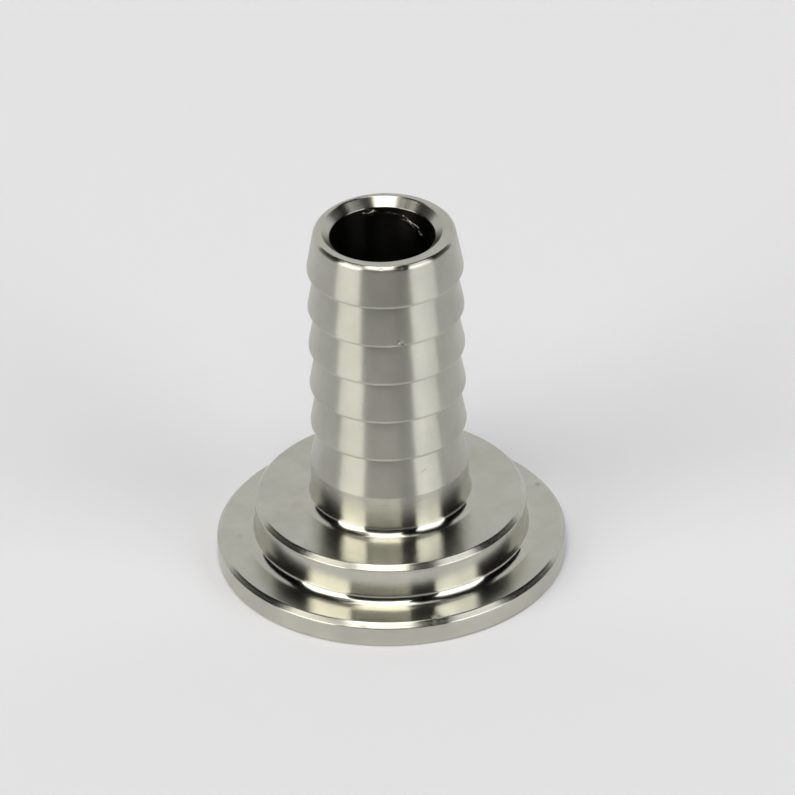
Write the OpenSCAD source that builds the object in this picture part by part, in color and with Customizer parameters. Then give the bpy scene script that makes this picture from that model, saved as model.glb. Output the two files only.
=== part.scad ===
// Hose barb tailpiece, turned in one piece from a stainless steel bar and drilled right through.
// A coupling nut bears on the flange and presses its flat underside on a seat, the shoulder
// centres that nut, and a hose is pushed over the barbs down to the collar.
// The axis is Z, the underside of the flange is at z = 0 and the barbs point up. Sizes are in mm.

/* [Flange] */
// Diameter of the flange
flange_d = 20.4; // [19.4:0.1:24]
// Thickness of the flange
flange_h = 1.52; // [1.2:0.02:3]
// Height of the bevel round the upper edge of the flange
flange_bevel_h = 0.28; // [0.1:0.02:0.6]
// Width of that bevel, along the radius
flange_bevel_w = 0.28; // [0.1:0.02:0.5]
// Edge break round the flat underside, at the rim and at the bore
seat_edge_break = 0.12; // [0.04:0.02:0.3]

/* [Shoulder] */
// Diameter of the shoulder that centres the coupling nut
shoulder_d = 15.9; // [13:0.1:17]
// Height of the shoulder above the flange
shoulder_h = 2.5; // [1.6:0.02:5]
// Height of the bevel round the upper edge of the shoulder
shoulder_bevel_h = 0.29; // [0.1:0.01:0.6]
// Width of that bevel, along the radius
shoulder_bevel_w = 0.28; // [0.1:0.01:0.6]

/* [Collar] */
// Diameter of the plain collar that stops the hose
collar_d = 9.24; // [9:0.02:10.4]
// Height of the collar above the shoulder
collar_h = 2.56; // [1:0.02:5]
// Radius that the tool's nose leaves in the corners at the foot of the collar and of the shoulder
tool_nose_r = 0.56; // [0.1:0.02:0.6]

/* [Barbs] */
// Number of barbs, of which the lowest one runs out into the collar
barb_count = 6; // [2:1:9]
// Height of the lowest barb's cone, from the collar up to the next barb's ledge
first_cone_h = 2.54; // [1.2:0.01:4]
// Distance from one barb's ledge to the next
barb_pitch = 2.62; // [1.6:0.01:4]
// Diameter over the crests of the barbs
barb_crest_d = 9.08; // [8.6:0.02:9.8]
// Depth of a barb, from its crest down to its root
barb_depth = 0.46; // [0.2:0.01:0.7]
// Height of the narrow flat on each crest
crest_flat_h = 0.16; // [0.02:0.02:0.4]

/* [Tip] */
// Height of the uppermost barb, from its ledge to the upper end of its cone
tip_cone_h = 2.37; // [1:0.01:4]
// Diameter at the upper end of that cone
tip_d = 8.28; // [8.1:0.02:8.6]
// Height of the bevel that leads the hose on
tip_bevel_h = 0.18; // [0.1:0.02:0.6]
// Width of that bevel, along the radius
tip_bevel_w = 0.18; // [0.05:0.01:0.3]

/* [Bore] */
// Diameter of the bore
bore_d = 6.14; // [4:0.02:6.5]
// Depth and width of the 45 degree countersink in the mouth of the bore
mouth_bevel = 0.45; // [0.1:0.05:0.45]

/* [Hidden] */
$fn = 96;

flange_r = flange_d / 2;
shoulder_r = shoulder_d / 2;
collar_r = collar_d / 2;
bore_r = bore_d / 2;
crest_r = barb_crest_d / 2;
root_r = crest_r - barb_depth;
tip_r = tip_d / 2;

shoulder_top = flange_h + shoulder_h;
collar_top = shoulder_top + collar_h;
last_crest = collar_top + first_cone_h + (barb_count - 2) * barb_pitch;
tip_cone_top = last_crest + tip_cone_h;
top = tip_cone_top + tip_bevel_h;

// Points of the half section, from the bore round the flange to the foot of the shoulder
function flange_points() = [
    [bore_r + seat_edge_break, 0],
    [flange_r - seat_edge_break, 0],
    [flange_r, seat_edge_break],
    [flange_r, flange_h - flange_bevel_h],
    [flange_r - flange_bevel_w, flange_h],
];

// A corner filled by a triangle, from which tool_nose() takes the rounding
function corner_points(r, z) = [
    [r + tool_nose_r, z],
    [r, z + tool_nose_r],
];

function shoulder_points() = [
    each corner_points(shoulder_r, flange_h),
    [shoulder_r, shoulder_top - shoulder_bevel_h],
    [shoulder_r - shoulder_bevel_w, shoulder_top],
];

function collar_points() = [
    each corner_points(collar_r, shoulder_top),
    [collar_r, collar_top],
];

// The root under each barb's ledge and the barb's crest, from the second barb upwards
function barb_points() = [
    for (i = [1 : barb_count - 1])
    let (crest_z = collar_top + first_cone_h + (i - 1) * barb_pitch)
    each [
        [root_r, crest_z],
        [crest_r, crest_z],
        [crest_r, crest_z + crest_flat_h],
    ]
];

function tip_points() = [
    [tip_r, tip_cone_top],
    [tip_r - tip_bevel_w, top],
];

function bore_points() = [
    [bore_r + mouth_bevel, top],
    [bore_r, top - mouth_bevel],
    [bore_r, seat_edge_break],
];

// The round tool nose in the corner at the foot of a wall of radius r that stands on height z
module tool_nose(r, z) {
    translate([r + tool_nose_r, z + tool_nose_r])
        circle(r = tool_nose_r);
}

module half_section() {
    difference() {
        polygon(concat(
            flange_points(),
            shoulder_points(),
            collar_points(),
            barb_points(),
            tip_points(),
            bore_points()
        ));
        tool_nose(shoulder_r, flange_h);
        tool_nose(collar_r, shoulder_top);
    }
}

module tailpiece() {
    color("silver")
        rotate_extrude()
            half_section();
}

tailpiece();
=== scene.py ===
"""A hose barb tailpiece of turned stainless steel, standing on a pale studio table.

The part is turned about the Z axis. Its half section is drawn point by point with the sizes of the
CAD part, each corner is rounded as the tool and the deburring leave it, and the section is spun
round the axis. All sizes are in millimetres and are turned into metres where a mesh is made.
"""

import logging
import math
from dataclasses import dataclass
from enum import Enum

import bmesh
import bpy
from mathutils import Matrix, Vector
from mathutils.kdtree import KDTree

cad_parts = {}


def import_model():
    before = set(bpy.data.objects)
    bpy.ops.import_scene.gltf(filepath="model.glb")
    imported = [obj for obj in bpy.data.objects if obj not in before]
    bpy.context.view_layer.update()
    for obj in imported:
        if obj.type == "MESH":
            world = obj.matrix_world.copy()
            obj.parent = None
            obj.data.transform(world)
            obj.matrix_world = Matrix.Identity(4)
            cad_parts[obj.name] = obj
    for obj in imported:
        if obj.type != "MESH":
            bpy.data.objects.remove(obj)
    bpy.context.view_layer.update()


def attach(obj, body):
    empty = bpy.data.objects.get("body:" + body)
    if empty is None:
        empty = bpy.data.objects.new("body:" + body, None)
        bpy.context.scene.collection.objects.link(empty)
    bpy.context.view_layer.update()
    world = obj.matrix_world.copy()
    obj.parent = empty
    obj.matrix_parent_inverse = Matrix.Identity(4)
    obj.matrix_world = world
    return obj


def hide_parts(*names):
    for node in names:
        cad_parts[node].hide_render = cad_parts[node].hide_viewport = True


MM = 0.001
CM = 0.01
# A rounding takes up to this share of the face on each side of it, so two never meet.
MOST_OF_A_FACE = 0.45
# A quarter of the rounding's reach, or of this length in mm, lies between it and the point that
# keeps the straight face flat.
WIDEST_HOLD = 0.1

logging.basicConfig(level=logging.INFO, format="%(message)s")
log = logging.getLogger("tailpiece")


def linear(hex_colour: str) -> tuple[float, float, float, float]:
    """Turn an sRGB colour into the linear colour that a shader takes.

    Args:
        hex_colour: Six hex digits, such as "c8c6c0".

    Returns:
        The linear red, green, blue and an alpha of 1.
    """
    parts = [int(hex_colour[i:i + 2], 16) / 255 for i in (0, 2, 4)]
    flat = [c / 12.92 if c <= 0.04045 else ((c + 0.055) / 1.055) ** 2.4 for c in parts]
    return (flat[0], flat[1], flat[2], 1.0)


def add_node(
    tree: bpy.types.NodeTree, kind: str, links: dict | None = None, **settings
) -> bpy.types.Node:
    """Add a node with its settings and its links.

    Args:
        tree: The node tree to add it to.
        kind: The node's type, without the word ShaderNode.
        links: Input name or index, to the output socket or the value that it takes.
        **settings: Properties of the node itself.

    Returns:
        The new node.
    """
    node = tree.nodes.new("ShaderNode" + kind)
    for name, value in settings.items():
        setattr(node, name, value)
    for name, value in (links or {}).items():
        if isinstance(value, bpy.types.NodeSocket):
            tree.links.new(value, node.inputs[name])
        else:
            node.inputs[name].default_value = value
    return node


def deselect_all() -> None:
    """Leave no object selected."""
    bpy.ops.object.select_all(action="DESELECT")


class Cut(Enum):
    """How a face was cut: its roughness, the depth of its grooves and its shade, each 0 to 1."""

    FACED = (0.165, 0.35, 1.0)
    TURNED = (0.14, 0.35, 1.0)
    SKIMMED = (0.21, 0.6, 0.95)
    BEVELLED = (0.27, 0.5, 0.97)
    COUNTERSUNK = (0.21, 0.5, 0.97)
    BARBED = (0.30, 0.6, 0.93)
    # Painted shade: the deep bore's colour is darkened to 0.6 of the steel's.
    DRILLED = (0.15, 0.5, 0.6)


@dataclass(frozen=True)
class Corner:
    """A corner of the half section, the radius it is rounded to and the cut of the face after it.

    Where it fades, the cut turns little by little into the next corner's cut.
    """

    r: float
    z: float
    rounding: float = 0.03
    steps: int = 3
    cut: Cut = Cut.TURNED
    fades: bool = False


@dataclass(frozen=True)
class Nick:
    """A small dent in an edge, at a point of the surface."""

    x: float
    y: float
    z: float
    size: float
    depth: float


@dataclass(frozen=True)
class ColourSpot:
    """A spot of colour on the surface, as wide as size, with its colour and how much of it shows:
    mostly faint smudges, and in one nick on a barb, painted shade.
    """

    x: float
    y: float
    z: float
    size: float
    colour: str
    strength: float


@dataclass(frozen=True)
class DrillMark:
    """A torn line in the bore.

    V goes from start to end. Its depth under the mouth, its fall in a turn and its width are in mm,
    and its strength says how far the torn metal stands up, from 0 to 1.
    """

    start: float
    end: float
    depth: float
    fall: float
    width: float
    strength: float = 1.0


class HalfSection:
    """The closed half section of a turned part, with every corner rounded."""

    # One cut turns into the next over this share of the section's length, about 0.03 mm.
    STOP_GAP = 0.0005

    def __init__(self, corners: list[Corner]) -> None:
        """Round the corners and measure along the section.

        Args:
            corners: The corners in order.
        """
        self.corners = corners
        self.points: list[Vector] = []
        middles = []
        for i, corner in enumerate(corners):
            arc = rounded(corners[i - 1], corner, corners[(i + 1) % len(corners)])
            if self.points:
                self.points += self.between(self.points[-1], arc[0])
            middles.append(len(self.points) + len(arc) // 2)
            self.points += arc
        self.reach = [0.0]
        for before, after in zip(self.points, self.points[1:]):
            self.reach.append(self.reach[-1] + (after - before).length)
        self.length = self.reach[-1] + (self.points[0] - self.points[-1]).length
        self.stations = [self.reach[i] for i in middles]

    def between(self, start: Vector, end: Vector, gap: float = 0.4) -> list[Vector]:
        """Set points along a straight face, so that a nick in its edge stays small.

        Args:
            start: The last point before the face.
            end: The first point after it.
            gap: The widest gap between two points, in millimetres.

        Returns:
            The points between the two.
        """
        parts = math.ceil((end - start).length / gap)
        return [start.lerp(end, i / parts) for i in range(1, parts)]

    def cuts(self) -> list[tuple[float, Cut]]:
        """List the stops between which one cut holds or turns into the next.

        Returns:
            The places along the section, from 0 to 1, and the cut at each.
        """
        stops = [(0.0, self.corners[0].cut)]
        fades = False
        for station, corner in zip(self.stations, self.corners):
            place = station / self.length
            before = stops[-1][1]
            if corner.cut is not before:
                if not fades:
                    stops.append((place - self.STOP_GAP, before))
                stops.append((place, corner.cut))
            elif corner.fades:
                stops.append((place, before))
            fades = corner.fades
        return stops


@dataclass(frozen=True)
class TurnedStainless:
    """Stainless steel 304, turned on a lathe with a round-nosed tool and left unpolished.

    The tool's grooves run round the axis, so a reflection is drawn out along the profile and stays
    sharp round the axis. That gives the stem its upright stripes of light. The foot is cut finer
    than the barbs and mirrors its own corners, and the drilled bore is dull and dark: its colour
    is darkened there as painted shade for the dark inside of the deep bore.
    """

    name: str = "turned_stainless_steel"
    colour: str = "c9c8bd"
    anisotropy: float = 0.95
    # The feed is about 0.05 mm a turn, finer than a pixel, so the grooves are drawn at 0.14 mm.
    groove_pitch: float = 0.14
    groove_depth: float = 0.0006
    # How often the noise changes in one radian round the axis, for the grooves and for the wear.
    groove_around: float = 2.5
    wear_around: float = 0.9
    # The wear changes 4 times in a centimetre along the section, so every 2.5 mm.
    wear_along: float = 4.0
    # Changes in one metre: the cloudy tone is 2.4 mm wide, the ragged edges of the smudges and of
    # the painted shade 0.45 mm and the torn metal in the bore 0.43 mm.
    cloud_scale: float = 420.0
    ripple_scale: float = 2200.0
    torn_scale: float = 2300.0
    drill_mark_height: float = 0.16
    drill_marks: tuple[DrillMark, ...] = (
        DrillMark(0.6987, 0.612, 0.44, 11.3, 0.3),
        DrillMark(0.812, 0.77, 0.28, 0.6, 0.2),
        DrillMark(0.785, 0.685, 0.33, 1.5, 0.26, 0.3),
    )
    stains_and_painted_shade: tuple[ColourSpot, ...] = (
        ColourSpot(-5.44, -1.15, 4.02, 0.55, "96836a", 0.25),
        ColourSpot(8.65, 4.11, 1.52, 0.22, "6a6450", 0.4),
        ColourSpot(-8.9, -0.63, 1.52, 0.35, "a39466", 0.3),
        ColourSpot(-6.6, -2.6, 4.02, 0.9, "8d8272", 0.12),
        ColourSpot(1.84, -3.90, 7.95, 0.07, "4a4038", 0.7),
        ColourSpot(1.95, -3.85, 7.99, 0.07, "4a4038", 0.7),
        ColourSpot(2.06, -3.79, 8.03, 0.07, "4a4038", 0.7),
        # Painted shade: a near-black spot in the nick on a barb's crest, the dent's dark side.
        ColourSpot(0.91, -4.44, 17.12, 0.14, "1c1412", 0.95),
        # A dark grey spot over the shallow dent at the tip's outer edge.
        ColourSpot(1.09, -3.90, 22.0, 0.2, "4c4844", 0.75),
    )

    def material(self, section: HalfSection) -> bpy.types.Material:
        """Make the material.

        Args:
            section: The half section, whose faces each have their cut.

        Returns:
            The finished material.
        """
        mat = bpy.data.materials.new(self.name)
        mat.use_nodes = True
        tree = mat.node_tree
        tree.nodes.clear()
        here = add_node(tree, "TexCoord").outputs["Object"]
        unrolled = add_node(tree, "UVMap", uv_map=Tailpiece.UV_NAME)
        along = add_node(tree, "SeparateXYZ", {0: unrolled.outputs[0]}).outputs["X"]
        cut = self.cut_ramp(tree, along, section)
        streaks = self.streaks(tree, here, along, self.wear_around, self.wear_along)
        grooves = self.streaks(tree, here, along, self.groove_around, 10.0 / self.groove_pitch)
        clouds = add_node(tree, "TexNoise", {
            "Vector": here, "Scale": self.cloud_scale, "Detail": 5.0, "Roughness": 0.62,
        }).outputs[0]
        shade = add_node(tree, "MapRange", {
            0: clouds, 1: 0.3, 2: 0.7, 3: 0.92, 4: 1.07,
        }).outputs[0]
        shade = add_node(
            tree, "Math", {0: shade, 1: cut.outputs["Blue"]}, operation="MULTIPLY"
        ).outputs[0]
        wear = add_node(tree, "MapRange", {
            0: streaks, 1: 0.3, 2: 0.7, 3: -0.02, 4: 0.02,
        }).outputs[0]
        rough = add_node(
            tree, "Math", {0: wear, 1: cut.outputs["Red"]}, operation="ADD"
        ).outputs[0]
        relief = add_node(tree, "Bump", {
            "Strength": cut.outputs["Green"],
            "Distance": self.groove_depth * MM,
            "Height": grooves,
        })
        relief = add_node(tree, "Bump", {
            "Distance": self.drill_mark_height * MM,
            "Height": self.drill_mark(tree, here, unrolled.outputs[0], section),
            "Normal": relief.outputs[0],
        })
        way = add_node(tree, "Tangent", direction_type="UV_MAP", uv_map=Tailpiece.UV_NAME)
        steel = add_node(tree, "BsdfPrincipled", {
            "Base Color": self.stained_and_shaded(tree, here, shade),
            "Metallic": 1.0,
            "Roughness": rough,
            "Anisotropic": self.anisotropy,
            "Normal": relief.outputs[0],
            "Tangent": way.outputs[0],
        })
        add_node(tree, "OutputMaterial", {"Surface": steel.outputs["BSDF"]})
        return mat

    def cut_ramp(
        self, tree: bpy.types.NodeTree, along: bpy.types.NodeSocket, section: HalfSection
    ) -> bpy.types.Node:
        """Give each face the numbers of its cut.

        Args:
            tree: The material's tree.
            along: Place along the section, in centimetres.
            section: The half section.

        Returns:
            A node whose red, green and blue are roughness, groove depth and shade.
        """
        place = add_node(tree, "Math", {0: along, 1: 10.0 / section.length}, operation="MULTIPLY")
        ramp = add_node(tree, "ValToRGB", {0: place.outputs[0]})
        stops = ramp.color_ramp.elements
        stops.remove(stops[1])
        for start, cut in section.cuts():
            stop = stops.new(start) if start > 0 else stops[0]
            stop.color = (*cut.value, 1.0)
        return add_node(tree, "SeparateColor", {0: ramp.outputs[0]})

    def streaks(
        self,
        tree: bpy.types.NodeTree,
        here: bpy.types.NodeSocket,
        along: bpy.types.NodeSocket,
        around_scale: float,
        along_scale: float,
    ) -> bpy.types.NodeSocket:
        """Draw noise that is long round the axis and short along the section, without a seam.

        Args:
            tree: The material's tree.
            here: Object coordinates.
            along: Place along the section, in centimetres.
            around_scale: Changes for one radian round the axis.
            along_scale: Changes for one centimetre along the section.

        Returns:
            The noise, 0 to 1.
        """
        level = add_node(tree, "VectorMath", {0: here, 1: (1.0, 1.0, 0.0)}, operation="MULTIPLY")
        spoke = add_node(tree, "VectorMath", {0: level.outputs[0]}, operation="NORMALIZE")
        rise = add_node(tree, "Math", {0: along, 1: along_scale}, operation="MULTIPLY")
        lift = add_node(tree, "CombineXYZ", {"Z": rise.outputs[0]})
        place = add_node(
            tree, "VectorMath",
            {0: spoke.outputs[0], 1: (around_scale,) * 3, 2: lift.outputs[0]},
            operation="MULTIPLY_ADD",
        )
        noise = add_node(tree, "TexNoise", {
            "Vector": place.outputs[0], "Scale": 1.0, "Detail": 2.0,
        })
        return noise.outputs[0]

    def drill_mark(
        self,
        tree: bpy.types.NodeTree,
        here: bpy.types.NodeSocket,
        unrolled: bpy.types.NodeSocket,
        section: HalfSection,
    ) -> bpy.types.NodeSocket:
        """Draw the torn line that the drill's chips left on the wall of the bore, under the mouth.

        Args:
            tree: The material's tree.
            here: Object coordinates.
            unrolled: The piece's own UV map.
            section: The half section.

        Returns:
            The height of the torn metal, 0 to 1.
        """
        place = add_node(tree, "SeparateXYZ", {0: unrolled})
        torn = add_node(tree, "TexNoise", {
            "Vector": here, "Scale": self.torn_scale, "Detail": 4.0,
        }).outputs[0]
        marks = None
        for mark in self.drill_marks:
            start = (section.stations[-1] + mark.depth) / 10
            # U grows down the bore by the mark's fall for each turn that V has gone from its start.
            straight = add_node(tree, "Math", {
                0: place.outputs["Y"], 1: mark.fall / 10, 2: -start - mark.start * mark.fall / 10,
            }, operation="MULTIPLY_ADD").outputs[0]
            away = add_node(
                tree, "Math", {0: place.outputs["X"], 1: straight}, operation="ADD"
            ).outputs[0]
            away = add_node(tree, "Math", {0: away}, operation="ABSOLUTE").outputs[0]
            line = add_node(tree, "MapRange", {
                0: away, 1: mark.width / 10, 2: 0.0, 3: 0.0, 4: mark.strength,
            }).outputs[0]
            middle = (mark.start + mark.end) / 2
            reach = abs(mark.end - mark.start) / 2
            off = add_node(
                tree, "Math", {0: place.outputs["Y"], 1: middle}, operation="SUBTRACT"
            ).outputs[0]
            off = add_node(tree, "Math", {0: off}, operation="ABSOLUTE").outputs[0]
            # The line fades out over the last quarter of its reach at each end.
            ends = add_node(tree, "MapRange", {
                0: off, 1: reach, 2: 0.75 * reach, 3: 0.0, 4: 1.0,
            }).outputs[0]
            line = add_node(tree, "Math", {0: line, 1: ends}, operation="MULTIPLY").outputs[0]
            if marks is None:
                marks = line
            else:
                marks = add_node(
                    tree, "Math", {0: marks, 1: line}, operation="MAXIMUM"
                ).outputs[0]
        chips = add_node(tree, "MapRange", {
            0: torn, 1: 0.4, 2: 0.68, 3: 0.05, 4: 1.0,
        }).outputs[0]
        return add_node(tree, "Math", {0: marks, 1: chips}, operation="MULTIPLY").outputs[0]

    def stained_and_shaded(
        self, tree: bpy.types.NodeTree, here: bpy.types.NodeSocket, shade: bpy.types.NodeSocket
    ) -> bpy.types.NodeSocket:
        """Colour the steel and lay the faint smudges and the painted shade of a nick on it.

        Args:
            tree: The material's tree.
            here: Object coordinates.
            shade: A factor close to 1 for the cloudy tone of the steel, times the cut's shade,
                which in the bore is painted shade.

        Returns:
            The colour.
        """
        grey = add_node(
            tree, "VectorMath", {0: linear(self.colour)[:3], "Scale": shade}, operation="SCALE"
        )
        colour = grey.outputs[0]
        ripple = add_node(tree, "TexNoise", {
            "Vector": here, "Scale": self.ripple_scale, "Detail": 2.0,
        }).outputs[0]
        for colour_spot in self.stains_and_painted_shade:
            spot = Vector((colour_spot.x, colour_spot.y, colour_spot.z)) * MM
            away = add_node(
                tree, "VectorMath", {0: here, 1: spot}, operation="DISTANCE"
            ).outputs["Value"]
            ragged = add_node(
                tree, "Math", {0: ripple, 1: colour_spot.size * MM, 2: away}, operation="MULTIPLY_ADD"
            ).outputs[0]
            show = add_node(tree, "MapRange", {
                0: ragged,
                1: 1.5 * colour_spot.size * MM,
                2: 0.5 * colour_spot.size * MM,
                3: 0.0,
                4: colour_spot.strength,
            }).outputs[0]
            mix = add_node(
                tree, "Mix", {0: show, 6: colour, 7: linear(colour_spot.colour)}, data_type="RGBA"
            )
            colour = mix.outputs[2]
        return colour


@dataclass
class Tailpiece:
    """The tailpiece, one solid turned from a bar."""

    UV_NAME = "lathe"

    flange_r: float = 10.2
    flange_h: float = 1.52
    flange_bevel_h: float = 0.28
    flange_bevel_w: float = 0.28
    seat_edge_break: float = 0.12
    shoulder_r: float = 7.95
    shoulder_h: float = 2.5
    shoulder_bevel_h: float = 0.29
    shoulder_bevel_w: float = 0.28
    collar_r: float = 4.62
    collar_h: float = 2.56
    tool_nose_r: float = 0.56
    barb_count: int = 6
    first_cone_h: float = 2.54
    barb_pitch: float = 2.62
    barb_crest_r: float = 4.54
    barb_depth: float = 0.46
    crest_flat_h: float = 0.16
    tip_cone_h: float = 2.37
    tip_r: float = 4.14
    tip_bevel_h: float = 0.18
    tip_bevel_w: float = 0.18
    bore_r: float = 3.07
    mouth_bevel: float = 0.45
    # The drill wandered a little on its way, so the mouth is this far off the axis in X and Y.
    mouth_shift: tuple[float, float] = (-0.12, 0.09)
    # The countersink leans back too: its outer edge is wider by the spread and moved further.
    sink_spread: float = 0.05
    sink_shift: tuple[float, float] = (-0.02, 0.05)
    # What lies this far outside the mouth's edge, or further, stays where it is.
    mouth_margin: float = 0.2
    turns: int = 320
    nicks: tuple[Nick, ...] = (
        Nick(0.80, -4.47, 17.14, 0.14, 0.05),
        Nick(-0.238, -4.043, 22.03, 0.09, 0.045),
        Nick(1.09, -3.90, 22.0, 0.27, 0.012),
        Nick(-1.80, -9.97, 1.25, 0.2, 0.05),
        Nick(2.61, -9.74, 1.42, 0.45, 0.035),
    )

    @property
    def shoulder_top(self) -> float:
        """Height of the shoulder's flat top."""
        return self.flange_h + self.shoulder_h

    @property
    def collar_top(self) -> float:
        """Height at which the lowest barb starts."""
        return self.shoulder_top + self.collar_h

    @property
    def ledges(self) -> list[float]:
        """Heights of the ledges under the barbs, from the second barb up."""
        lowest = self.collar_top + self.first_cone_h
        return [lowest + i * self.barb_pitch for i in range(self.barb_count - 1)]

    @property
    def tip_cone_top(self) -> float:
        """Height of the upper end of the last cone."""
        return self.ledges[-1] + self.tip_cone_h

    @property
    def top(self) -> float:
        """Height of the flat rim at the tip."""
        return self.tip_cone_top + self.tip_bevel_h

    def foot_corners(self) -> list[Corner]:
        """List the corners of the flange, the shoulder and the collar.

        Returns:
            The corners, from the bore at the flat underside up to the foot of the barbs.
        """
        low = self.seat_edge_break
        nose = self.tool_nose_r
        shoulder_edge = self.shoulder_top - self.shoulder_bevel_h
        return [
            Corner(self.bore_r, low, cut=Cut.FACED),
            Corner(self.bore_r + low, 0, cut=Cut.FACED),
            Corner(self.flange_r - low, 0, 0.05),
            Corner(self.flange_r, low, 0.08, cut=Cut.SKIMMED),
            Corner(self.flange_r, self.flange_h - self.flange_bevel_h, 0.12, 4, Cut.BEVELLED),
            Corner(self.flange_r - self.flange_bevel_w, self.flange_h, 0.1, 4, Cut.FACED),
            Corner(self.shoulder_r, self.flange_h, nose, 12),
            Corner(self.shoulder_r, shoulder_edge, 0.1, 4, Cut.BEVELLED),
            Corner(self.shoulder_r - self.shoulder_bevel_w, self.shoulder_top, 0.1, 4, Cut.FACED),
            Corner(self.collar_r, self.shoulder_top, nose, 12, fades=True),
        ]

    def barb_corners(self) -> list[Corner]:
        """List the corners of the collar's top edge and of each barb above it.

        Returns:
            The corners, from the collar's top edge up to the crest of the last barb.
        """
        corners = [Corner(self.collar_r, self.collar_top, 0.3, 4, Cut.BARBED)]
        root_r = self.barb_crest_r - self.barb_depth
        for z in self.ledges:
            corners.append(Corner(root_r, z, 0.05, 3, Cut.BARBED))
            corners.append(Corner(self.barb_crest_r, z, 0.05, 3, Cut.BARBED))
            corners.append(Corner(self.barb_crest_r, z + self.crest_flat_h, 0.1, 3, Cut.BARBED))
        return corners

    def tip_corners(self) -> list[Corner]:
        """List the corners of the tip and of the mouth of the bore.

        Returns:
            The corners, from the top of the last cone to the foot of the countersink.
        """
        return [
            Corner(self.tip_r, self.tip_cone_top, 0.5, 6, Cut.BEVELLED),
            Corner(self.tip_r - self.tip_bevel_w, self.top, 0.12, 4, Cut.FACED),
            Corner(self.bore_r + self.mouth_bevel, self.top, 0.16, 4, Cut.COUNTERSUNK),
            Corner(self.bore_r, self.top - self.mouth_bevel, 0.05, 3, Cut.DRILLED),
        ]

    def section(self) -> HalfSection:
        """Round every corner of the half section.

        Returns:
            The closed half section, in millimetres.
        """
        return HalfSection(self.foot_corners() + self.barb_corners() + self.tip_corners())

    def build(self) -> bpy.types.Object:
        """Draw the half section, spin it round the axis and dress it.

        Returns:
            The finished object, with its UV map and its material.
        """
        section = self.section()
        points = [p * MM for p in section.points]
        deselect_all()
        bpy.ops.mesh.primitive_circle_add(vertices=3, radius=MM, location=points[0])
        piece = bpy.context.object
        piece.name = "turned_tailpiece"
        bpy.ops.object.transform_apply(location=True, rotation=True, scale=True)
        bpy.ops.object.mode_set(mode="EDIT")
        self.draw_section(piece, points)
        bpy.ops.mesh.select_all(action="SELECT")
        bpy.ops.mesh.spin(steps=self.turns, angle=math.tau, center=(0, 0, 0), axis=(0, 0, 1))
        bpy.ops.mesh.select_all(action="SELECT")
        bpy.ops.mesh.remove_doubles(threshold=0.001 * MM)
        bpy.ops.mesh.normals_make_consistent(inside=False)
        bpy.ops.mesh.faces_shade_smooth()
        bpy.ops.object.mode_set(mode="OBJECT")
        self.unroll(piece, section)
        self.wander(piece)
        self.dent(piece)
        piece.data.materials.append(TurnedStainless().material(section))
        return piece

    def draw_section(self, piece: bpy.types.Object, points: list[Vector]) -> None:
        """Extrude one vertex along the section and close the loop.

        Args:
            piece: The object in edit mode, with a small starting ring.
            points: The section's points, in metres.
        """
        bpy.ops.mesh.select_mode(type="VERT")
        mesh = bmesh.from_edit_mesh(piece.data)
        mesh.verts.ensure_lookup_table()
        for vert in mesh.verts:
            vert.select_set(vert.index != 0)
        bmesh.update_edit_mesh(piece.data)
        bpy.ops.mesh.delete(type="VERT")
        bpy.ops.mesh.select_all(action="SELECT")
        mesh = bmesh.from_edit_mesh(piece.data)
        mesh.verts.ensure_lookup_table()
        here = mesh.verts[0].co.copy()
        bpy.ops.transform.translate(value=points[0] - here)
        for before, after in zip(points, points[1:]):
            bpy.ops.mesh.extrude_region_move(TRANSFORM_OT_translate={"value": after - before})
        bpy.ops.mesh.select_all(action="DESELECT")
        mesh = bmesh.from_edit_mesh(piece.data)
        for vert in mesh.verts:
            vert.select_set(len(vert.link_edges) == 1)
        bmesh.update_edit_mesh(piece.data)
        bpy.ops.mesh.edge_face_add()

    def unroll(self, piece: bpy.types.Object, section: HalfSection) -> None:
        """Write the UV map: U runs along the section in centimetres and V once round the axis.

        Args:
            piece: The spun object.
            section: The half section that it was spun from.
        """
        nearest = KDTree(len(section.points))
        for i, point in enumerate(section.points):
            nearest.insert(point * MM, i)
        nearest.balance()
        end = section.length
        mesh = piece.data
        along = [
            section.reach[nearest.find((math.hypot(v.co.x, v.co.y), 0, v.co.z))[1]]
            for v in mesh.vertices
        ]
        layer = mesh.uv_layers.new(name=self.UV_NAME)
        for face in mesh.polygons:
            middle = math.atan2(face.center.y, face.center.x) / math.tau
            furthest = max(along[i] for i in face.vertices)
            for loop, i in zip(face.loop_indices, face.vertices):
                co = mesh.vertices[i].co
                turn = math.atan2(co.y, co.x) / math.tau
                turn += round(middle - turn)
                u = end if along[i] < furthest - end / 2 else along[i]
                layer.data[loop].uv = (u * MM / CM, turn + 0.5)

    def wander(self, piece: bpy.types.Object) -> None:
        """Lead the bore a little off the axis on its way up to the mouth.

        Args:
            piece: The spun object.
        """
        drift = Vector((*self.mouth_shift, 0)) * MM
        lean = Vector((*self.sink_shift, 0)) * MM
        edge = (self.bore_r + self.mouth_bevel + self.mouth_margin) * MM
        for vert in piece.data.vertices:
            spoke = Vector((vert.co.x, vert.co.y, 0))
            if spoke.length >= edge:
                continue
            if vert.co.z > (self.top - self.mouth_bevel) * MM:
                share = min(1.0, (spoke.length / MM - self.bore_r) / self.mouth_bevel)
                vert.co += (spoke.normalized() * self.sink_spread * MM + lean) * share
            vert.co += drift * (vert.co.z / (self.top * MM)) ** 2
        piece.data.update()

    def dent(self, piece: bpy.types.Object) -> None:
        """Press the small nicks into the edges.

        Args:
            piece: The spun object.
        """
        mesh = piece.data
        for nick in self.nicks:
            spot = Vector((nick.x, nick.y, nick.z)) * MM
            for vert in mesh.vertices:
                away = (vert.co - spot).length / (nick.size * MM)
                if away < 1:
                    vert.co -= vert.normal * nick.depth * MM * (1 - away * away) ** 2
        mesh.update()


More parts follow.
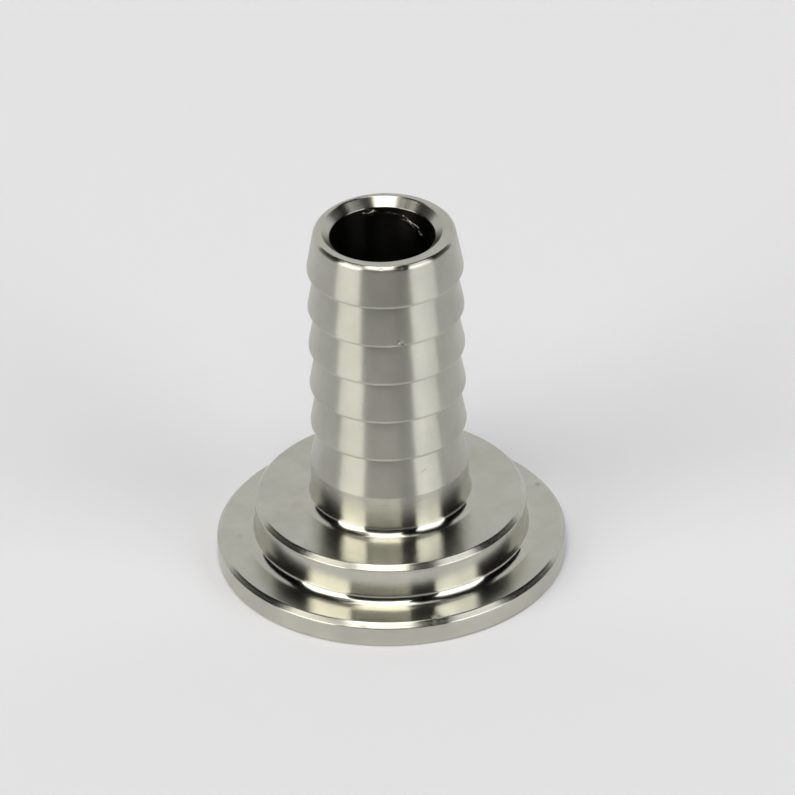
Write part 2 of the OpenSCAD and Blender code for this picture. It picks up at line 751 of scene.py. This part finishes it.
def rounded(before: Corner, corner: Corner, after: Corner) -> list[Vector]:
    """Round one corner with an arc, with a point close to each end that keeps the straights flat.

    Args:
        before: The corner before it along the section.
        corner: The corner to round.
        after: The corner after it.

    Returns:
        The points that take the corner's place, as (r, 0, z) in millimetres.
    """
    here = Vector((corner.r, 0, corner.z))
    back = Vector((before.r, 0, before.z)) - here
    on = Vector((after.r, 0, after.z)) - here
    half = back.angle(on) / 2
    reach = min(
        corner.rounding / math.tan(half), MOST_OF_A_FACE * back.length, MOST_OF_A_FACE * on.length
    )
    radius = reach * math.tan(half)
    middle = here + (back.normalized() + on.normalized()).normalized() * radius / math.sin(half)
    start = here + back.normalized() * reach
    end = here + on.normalized() * reach
    hold = 0.25 * min(reach, WIDEST_HOLD)
    sweep = math.pi - 2 * half
    axis = (start - middle).cross(end - middle).normalized()
    arc = [
        middle + Matrix.Rotation(sweep * i / corner.steps, 3, axis) @ (start - middle)
        for i in range(corner.steps + 1)
    ]
    return [start + back.normalized() * hold, *arc, end + on.normalized() * hold]


@dataclass
class PhotoCamera:
    """The camera at the photograph's viewing angle, found by fitting the part's outline."""

    lens: float = 540.0
    sensor: float = 36.0
    distance: float = 693.2
    elevation: float = 33.286
    roll: float = -1.344
    aim: tuple[float, float, float] = (0.54, 0.0, 10.57)

    def build(self) -> bpy.types.Object:
        """Add the camera and make it the scene's own.

        Returns:
            The camera.
        """
        data = bpy.data.cameras.new("photo_camera")
        data.lens = self.lens
        data.sensor_width = self.sensor
        data.clip_start = 0.05
        data.clip_end = 20
        camera = bpy.data.objects.new("photo_camera", data)
        bpy.context.collection.objects.link(camera)
        tilt = Matrix.Rotation(math.radians(90 - self.elevation), 4, "X")
        turn = tilt @ Matrix.Rotation(math.radians(self.roll), 4, "Z")
        place = Vector(self.aim) + tilt.to_3x3() @ Vector((0, 0, self.distance))
        camera.matrix_world = Matrix.Translation(place * MM) @ turn
        bpy.context.scene.camera = camera
        return camera


@dataclass(frozen=True)
class Softbox:
    """A plain softbox: an evenly lit rectangle that faces the part, upright or overhead."""

    name: str
    place: tuple[float, float, float]
    width: float
    height: float
    glow: float
    overhead: bool = False
    colour: str = "ffffff"

    def build(self) -> bpy.types.Object:
        """Add the light.

        Returns:
            The light.
        """
        data = bpy.data.lights.new(self.name, "AREA")
        data.shape = "RECTANGLE"
        data.size = self.width * MM
        data.size_y = self.height * MM
        data.energy = self.glow * math.pi * data.size * data.size_y
        data.color = linear(self.colour)[:3]
        lamp = bpy.data.objects.new(self.name, data)
        bpy.context.collection.objects.link(lamp)
        x, y, z = self.place
        swing = Matrix.Rotation(math.atan2(x, -y), 4, "Z")
        upright = swing @ Matrix.Rotation(math.radians(90), 4, "X")
        face = Matrix.Identity(4) if self.overhead else upright
        lamp.matrix_world = Matrix.Translation(Vector(self.place) * MM) @ face
        return lamp


@dataclass
class Studio:
    """A pale table under a few plain softboxes."""

    floor_size: float = 6000
    # The table ends out of view here, because the middle of the stem mirrors the dark before it.
    front_edge: float = -75
    floor_colour: str = "f8f9fe"
    backdrop_colour: str = "e4e4e4"
    softboxes: tuple[Softbox, ...] = (
        Softbox("left_softbox", (-2060, -1416, 1228), 1700, 2457, 3.0, colour="fffcf5"),
        Softbox("right_softbox", (2073, -1398, 1068), 1790, 2135, 2.2),
        Softbox("right_inner_softbox", (1762, -1702, 1046), 864, 2093, 0.5),
        Softbox("right_upper_wall", (2218, -1154, 2678), 1577, 1160, 1.13),
        Softbox("front_softbox", (-249, -1174, 2059), 1276, 1676, 3.2, colour="fffcf5"),
        Softbox("left_upper_wall", (-1132, -984, 2839), 1033, 1059, 0.73),
        Softbox("front_ceiling", (-110, -445, 2000), 900, 890, 2.7, overhead=True, colour="fffcf5"),
        Softbox("back_ceiling", (0, 325, 2000), 1000, 650, 1.35, overhead=True),
        Softbox("back_screen", (0, 1500, 995), 1092, 1990, 0.68),
        Softbox("back_screen_right", (964, 1149, 995), 1092, 1990, 0.68),
        Softbox("back_screen_left", (-964, 1149, 995), 1092, 1990, 0.68),
    )

    def build(self) -> None:
        """Set up the table, the lights and the room."""
        self.floor()
        for softbox in self.softboxes:
            softbox.build()
        self.room()

    def floor(self) -> bpy.types.Object:
        """Add the table top, a plain matt sheet.

        Returns:
            The floor.
        """
        deselect_all()
        middle = (0, (self.front_edge + self.floor_size / 2) * MM, 0)
        bpy.ops.mesh.primitive_plane_add(size=self.floor_size * MM, location=middle)
        sheet = bpy.context.object
        sheet.name = "table"
        mat = bpy.data.materials.new("matt_white_paper")
        mat.use_nodes = True
        tree = mat.node_tree
        tree.nodes.clear()
        paper = add_node(tree, "BsdfDiffuse", {"Color": linear(self.floor_colour)})
        add_node(tree, "OutputMaterial", {"Surface": paper.outputs["BSDF"]})
        sheet.data.materials.append(mat)
        return sheet

    def room(self) -> None:
        """Show the pale backdrop behind the table, which lights nothing."""
        world = bpy.data.worlds.new("pale_backdrop")
        bpy.context.scene.world = world
        world.use_nodes = True
        tree = world.node_tree
        tree.nodes.clear()
        glow = add_node(tree, "Background", {
            "Color": linear(self.backdrop_colour), "Strength": 1.0,
        })
        add_node(tree, "OutputWorld", {"Surface": glow.outputs["Background"]})
        world.cycles_visibility.diffuse = False
        world.cycles_visibility.glossy = False


def main() -> None:
    """Build the part, its finish and the studio."""
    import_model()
    piece = Tailpiece().build()
    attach(piece, "root")
    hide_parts("tailpiece")
    log.info("tailpiece: %d faces", len(piece.data.polygons))
    PhotoCamera().build()
    Studio().build()
    bpy.context.scene.view_settings.view_transform = "Standard"


if __name__ == "__main__":
    main()
